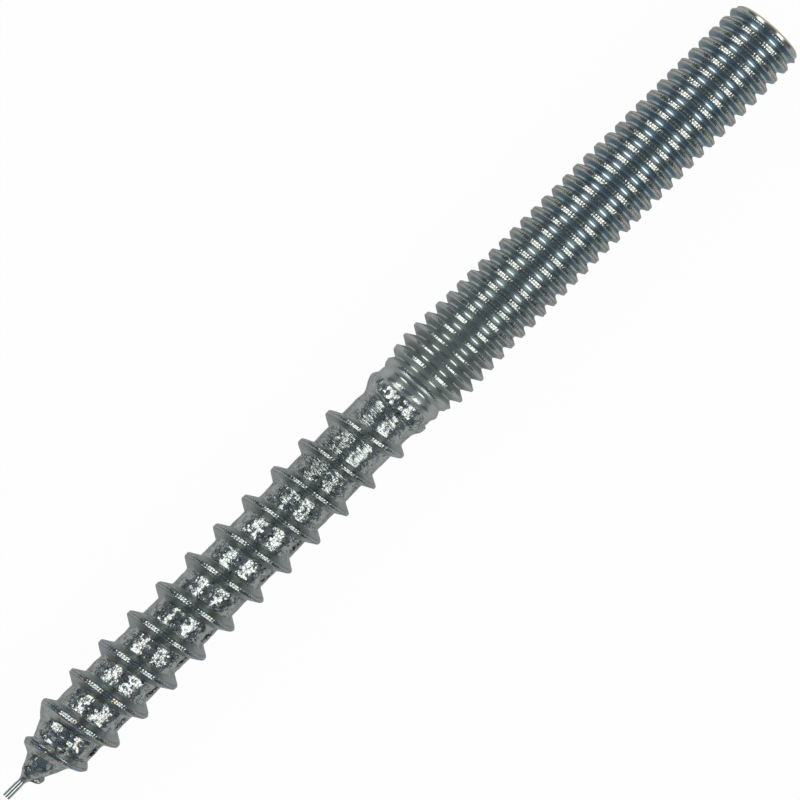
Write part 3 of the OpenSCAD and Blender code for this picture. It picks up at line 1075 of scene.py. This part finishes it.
# A gap's full width and its end, as shares of a bead, and how much painted shade the gaps get
GAP_FULL, GAP_ENDS = 0.04, 0.2
POLISHED_GAPS, MORE_GAPS = 0.15, 0.6
bead_u = add(tree, "ShaderNodeMath", {0: across.outputs["X"], 1: 1 / BEAD}, operation="MULTIPLY")
bead_v = add(tree, "ShaderNodeMath", {0: phase, 1: 1 / (2 * math.pi)}, operation="MULTIPLY")
bead_place = add(tree, "ShaderNodeCombineXYZ", {"X": bead_u, "Y": bead_v})
beads = add(tree, "ShaderNodeTexVoronoi", {"Vector": bead_place, "Scale": 1.0, "Randomness": BEAD_VARIES},
            voronoi_dimensions="2D", feature="DISTANCE_TO_EDGE")
gap_shade = add(tree, "ShaderNodeMapRange", {"Value": beads, "From Min": GAP_FULL, "From Max": GAP_ENDS,
                                        "To Min": 1.0, "To Max": 0.0})
gap_shade_share = add(tree, "ShaderNodeMath", {0: late, 1: MORE_GAPS, 2: POLISHED_GAPS}, operation="MULTIPLY_ADD")
gap_shade = add(tree, "ShaderNodeMath", {0: gap_shade, 1: gap_shade_share}, operation="MULTIPLY")
# The crest's painted shade: the darker of the gaps and the seams
nick_shade = add(tree, "ShaderNodeMath", {0: gap_shade, 1: seam_shade}, operation="MAXIMUM")
nick_shade = add(tree, "ShaderNodeMath", {0: nick_shade, 1: crest}, operation="MULTIPLY")
print("Beads", mm(BEAD), "mm long")

# %% The beads' height
WOOD_BEAD_H, MACHINE_BEAD_H = 0.011, 0.008
BEAD_TOP = 0.4
domes = add(tree, "ShaderNodeMapRange", {"Value": beads, "From Min": 0.0, "From Max": BEAD_TOP})
domes = add(tree, "ShaderNodeMath", {0: domes, 1: crest}, operation="MULTIPLY")
dome_h = add(tree, "ShaderNodeMapRange", {"Value": on_machine, "To Min": WOOD_BEAD_H,
                                          "To Max": MACHINE_BEAD_H})
domes = add(tree, "ShaderNodeMath", {0: domes, 1: dome_h}, operation="MULTIPLY")
print("Beads", WOOD_BEAD_H, "and", MACHINE_BEAD_H, "mm high")

# %% [markdown]
# ### One height for the whole skin
#
# The grains, the scores and the beads are added to one height in millimetres, with the low ring
# before the collar, a trace of unevenness all over and, on the cropped face, the faint marks
# that the shear dragged across it. One Bump node turns it into leaning normals. These forms are
# a hundredth of a millimetre high, too small for the mesh.

# %% Height
EVEN_H, CREST_EVEN_H = 0.001, 0.003
SHEAR_W, SHEAR_LEN, SHEAR_H = 0.12 * MM, 1.5 * MM, 0.04
RING_H = 0.01
height = add(tree, "ShaderNodeMath", {0: domes, 1: skin}, operation="ADD")
uneven = add(tree, "ShaderNodeMath", {0: crest, 1: CREST_EVEN_H, 2: EVEN_H}, operation="MULTIPLY_ADD")
uneven = add(tree, "ShaderNodeMath", {0: uneven, 1: fine}, operation="MULTIPLY")
height = add(tree, "ShaderNodeMath", {0: height, 1: uneven}, operation="ADD")
sheared = add(tree, "ShaderNodeMapping", {"Vector": place, "Scale": (0, 1 / SHEAR_W, 1 / SHEAR_LEN)})
sheared = add(tree, "ShaderNodeTexNoise", {"Vector": sheared, "Scale": 1.0, "Detail": 2.0})
sheared = add(tree, "ShaderNodeMath", {0: sheared, 1: cropped}, operation="MULTIPLY")
height = add(tree, "ShaderNodeMath", {0: sheared, 1: SHEAR_H, 2: height}, operation="MULTIPLY_ADD")
height = add(tree, "ShaderNodeMath", {0: ring, 1: RING_H, 2: height}, operation="MULTIPLY_ADD")
bump = add(tree, "ShaderNodeBump", {"Strength": 1.0, "Distance": MM, "Height": height})
print("Height takes", len(tree.nodes), "nodes")

# %% [markdown]
# ### Zinc's colours
#
# Clean zinc is a slightly green grey. The passivate's film grows thicker towards both ends: on
# the machine thread it turns the flanks blue and the crests straw, and near the tip it breaks
# into small blue and orange spots. Gaps, seams and cracks are darkened with painted shade, the
# laps with a near-black painted shadow, and the chamfered rim is a pale cream that paints its
# glancing reflection of the white paper.

# %% Film on the machine thread
CLEAN_ZINC, BLUE_FILM, STRAW_FILM = "#AEB5B2", "#8CA3B0", "#C2C4B8"
FILM_CLOUD, THIN_FILM, FULL_FILM = 1.3 * MM, 0.3, 0.7
THIN_FILM_TINT = 0.5
FILM_FROM_X, FILM_FULL_X = 2 * MM, 20 * MM
tints = add(tree, "ShaderNodeTexNoise", {"Vector": place, "Scale": 1 / FILM_CLOUD, "Detail": 2.0})
tints = add(tree, "ShaderNodeMapRange", {"Value": tints, "From Min": THIN_FILM, "From Max": FULL_FILM,
                                         "To Min": THIN_FILM_TINT, "To Max": 1.0})
by_end = add(tree, "ShaderNodeMapRange", {"Value": along, "From Min": FILM_FROM_X, "From Max": FILM_FULL_X})
film = add(tree, "ShaderNodeMath", {0: tints, 1: by_end}, operation="MULTIPLY")
blue = add(tree, "ShaderNodeMath", {0: film, 1: flank}, operation="MULTIPLY")
straw = add(tree, "ShaderNodeMath", {0: film, 1: crest}, operation="MULTIPLY")
colour = add(tree, "ShaderNodeMix", {0: blue, 6: linear(CLEAN_ZINC), 7: linear(BLUE_FILM)}, data_type="RGBA")
colour = add(tree, "ShaderNodeMix", {0: straw, 6: colour.outputs[2], 7: linear(STRAW_FILM)}, data_type="RGBA")
print("Clouds of film", mm(FILM_CLOUD), "mm wide")

# %% Spots near the tip
BLUE_SPOT, ORANGE_SPOT = "#7FA3BE", "#E6BE8C"
SPOT, SPOT_FROM, SPOT_FULL = 0.35 * MM, 0.43, 0.66
SPOTS_FROM_X, SPOTS_FULL_X, SPOTS_AT_MOST = -14 * MM, -30 * MM, 0.3
ON_CORE, ON_CREST = 0.5, 0.9
spots = add(tree, "ShaderNodeTexNoise", {"Vector": place, "Scale": 1 / SPOT, "Detail": 1.0})
spots = add(tree, "ShaderNodeMapRange", {"Value": spots, "From Min": SPOT_FROM, "From Max": SPOT_FULL})
sheen = add(tree, "ShaderNodeMix", {0: spots, 6: linear(BLUE_SPOT), 7: linear(ORANGE_SPOT)}, data_type="RGBA")
by_tip = add(tree, "ShaderNodeMapRange", {"Value": along, "From Min": SPOTS_FROM_X, "From Max": SPOTS_FULL_X,
                                          "To Min": 0.0, "To Max": SPOTS_AT_MOST})
off_flank = add(tree, "ShaderNodeMath", {0: flank, 1: -ON_CORE, 2: ON_CORE}, operation="MULTIPLY_ADD")
on_lips = add(tree, "ShaderNodeMath", {0: crest, 1: ON_CREST, 2: off_flank}, operation="MULTIPLY_ADD")
by_tip = add(tree, "ShaderNodeMath", {0: by_tip, 1: on_lips}, operation="MULTIPLY")
colour = add(tree, "ShaderNodeMix", {0: by_tip, 6: colour.outputs[2], 7: sheen.outputs[2]}, data_type="RGBA")
print("Spots", mm(SPOT), "mm wide")

# %% Painted shade in gaps, seams and cracks, the laps' painted shadow and the rim's painted reflection
PAINTED_SHADE_COLOUR, LAP_SHADOW_COLOUR, RIM_REFLECTION_CREAM = "#3C4244", "#0C0F10", "#E2D19C"
NICK_SHADE = 0.75
painted_shade = add(tree, "ShaderNodeMath", {0: nick_shade, 1: NICK_SHADE, 2: crack_shade}, operation="MULTIPLY_ADD",
           use_clamp=True)
# Painted shade on the crests' gaps and seams and in the cracks, a near-black painted shadow in the laps, and
# a cream painted reflection on the rim
for share, tint in ((painted_shade, PAINTED_SHADE_COLOUR), (lap_shadow, LAP_SHADOW_COLOUR), (rim, RIM_REFLECTION_CREAM)):
    colour = add(tree, "ShaderNodeMix", {0: share, 6: colour.outputs[2], 7: linear(tint)}, data_type="RGBA")
print("Colour and height take", len(tree.nodes), "nodes")

# %% [markdown]
# ### Gloss
#
# The dies polished the crests and roots, and zinc there has a roughness of about 0.17. The flanks
# slid and are duller, most of all beside the collar. The rim is made dull and less metallic, so
# that its pale cream, a painted reflection of the white paper, shows under the lamps.

# %% Gloss and the shader
POLISHED = 0.17
# What a flank adds to that beside the collar, and further off
FLANK_DULLER, FAR_FLANK_DULLER = 0.27, 0.15
RIM_DULLER = 0.5
RIM_LESS_METAL = 0.7
duller = add(tree, "ShaderNodeMath", {0: late, 1: FAR_FLANK_DULLER - FLANK_DULLER, 2: FLANK_DULLER},
             operation="MULTIPLY_ADD")
roughness = add(tree, "ShaderNodeMath", {0: flank, 1: duller, 2: POLISHED}, operation="MULTIPLY_ADD")
roughness = add(tree, "ShaderNodeMath", {0: rim, 1: RIM_DULLER, 2: roughness}, operation="MULTIPLY_ADD")
metallic = add(tree, "ShaderNodeMath", {0: rim, 1: -RIM_LESS_METAL, 2: 1.0}, operation="MULTIPLY_ADD")
shader = add(tree, "ShaderNodeBsdfPrincipled", {
    "Base Color": colour.outputs[2], "Metallic": metallic, "Roughness": roughness, "Normal": bump})
add(tree, "ShaderNodeOutputMaterial", {"Surface": shader})
bolt.data.materials.clear()
bolt.data.materials.append(zinc)
print("Zinc plate:", len(tree.nodes), "nodes")

# %% [markdown]
# ## The stage
#
# The bolt lies on white paper. The paper scatters light and keeps a soft shadow, and where the
# camera looks straight at it, it also glows a little, so that the background comes out white
# without more light on the bolt. The bolt's own reflections get a tenth of that glow.

# %% White paper
PAPER_SIZE = 4.0
SEEN_GLOW = 0.97
REFLECTED_GLOW = 0.1
PAPER_Z = points[:, 2].min()
bpy.ops.object.select_all(action="DESELECT")
bpy.ops.mesh.primitive_plane_add(size=PAPER_SIZE, location=(0, 0, PAPER_Z))
floor = bpy.context.object
floor.name = "floor"

paper = empty_material("white_paper")
sheet = paper.node_tree
path = add(sheet, "ShaderNodeLightPath").outputs
seen = add(sheet, "ShaderNodeMath", {0: path["Is Glossy Ray"], 1: REFLECTED_GLOW}, operation="MULTIPLY")
for ray in ("Is Camera Ray", "Is Transmission Ray"):
    seen = add(sheet, "ShaderNodeMath", {0: path[ray], 1: seen}, operation="MAXIMUM")
glowing = add(sheet, "ShaderNodeMath", {0: seen, 1: SEEN_GLOW}, operation="MULTIPLY")
matt = add(sheet, "ShaderNodeBsdfDiffuse", {"Color": linear("#E6E6E6")})
glow = add(sheet, "ShaderNodeEmission", {"Color": linear("#FFFFFF"), "Strength": 1.0})
mixed = add(sheet, "ShaderNodeMixShader", {0: glowing, 1: matt, 2: glow})
add(sheet, "ShaderNodeOutputMaterial", {"Surface": mixed})
floor.data.materials.append(paper)
print("The paper lies", mm(-PAPER_Z), "mm below the axis")

# %% [markdown]
# ## Light
#
# Metal shows what stands round it. Two long soft boxes, one on each side of the camera and in
# line with the bolt, give its round surfaces two bright bands with a dark one between, and a
# dim, slightly blue studio fills the rest.

# %% The studio
STUDIO_STRENGTH = 0.21
world = bpy.data.worlds.new("dim_studio")
bpy.context.scene.world = world
world.use_nodes = True
background = world.node_tree.nodes["Background"]
background.inputs["Color"].default_value = linear("#DDEFFF")
background.inputs["Strength"].default_value = STUDIO_STRENGTH
print("The studio's strength is", STUDIO_STRENGTH)

# %% Two soft boxes
LAMP_DISTANCE = 0.5
LAMP_LENGTH = 0.75
LAMP_WIDTH = 0.24
LAMP_RADIANCE = 2.4
LAMP_X = 0.03
LAMP_LEANS = {"left": 41, "right": -37}
for side, lean in LAMP_LEANS.items():
    light = bpy.data.lights.new("soft_box_" + side, "AREA")
    light.shape = "RECTANGLE"
    light.size = LAMP_LENGTH
    light.size_y = LAMP_WIDTH
    light.color = linear("#FFFCF8")[:3]
    light.energy = LAMP_RADIANCE * math.pi * LAMP_LENGTH * LAMP_WIDTH
    lamp = bpy.data.objects.new(light.name, light)
    bpy.context.scene.collection.objects.link(lamp)
    leant = math.radians(lean)
    lamp.location = (LAMP_X, LAMP_DISTANCE * math.sin(leant), LAMP_DISTANCE * math.cos(leant))
    lamp.rotation_euler = (-leant, 0, 0)
    print(light.name, round(light.energy, 2), "W, leaning", lean, "degrees")

# %% [markdown]
# ## The camera
#
# The camera looks almost straight down and is turned so that the bolt lies along the picture's
# diagonal, with its machine end at the top right. It stands 240 mm above the axis, which gives
# the threads near the picture's corners their slight turn away.

# %% The camera
CAMERA_PLACE = Vector((-11.84, 0.047, 240)) * MM
AIM = Vector((-0.266, 0.047, 0)) * MM
FIELD = 53.16 * MM
SENSOR = 36
NEAR = 0.01
BOLT_TURN = math.radians(45.18)
back = (CAMERA_PLACE - AIM).normalized()
right = Vector((math.sin(BOLT_TURN), math.cos(BOLT_TURN), 0)).cross(back).normalized()
camera_data = bpy.data.cameras.new("camera")
camera_data.sensor_width = SENSOR
camera_data.lens = SENSOR * (CAMERA_PLACE - AIM).length / FIELD
camera_data.clip_start = NEAR
camera = bpy.data.objects.new("camera", camera_data)
bpy.context.scene.collection.objects.link(camera)
camera.matrix_world = Matrix((right, back.cross(right), back)).transposed().to_4x4()
camera.location = CAMERA_PLACE
bpy.context.scene.camera = camera
bpy.context.scene.view_settings.view_transform = "Standard"
print("Lens", round(camera_data.lens), "mm")
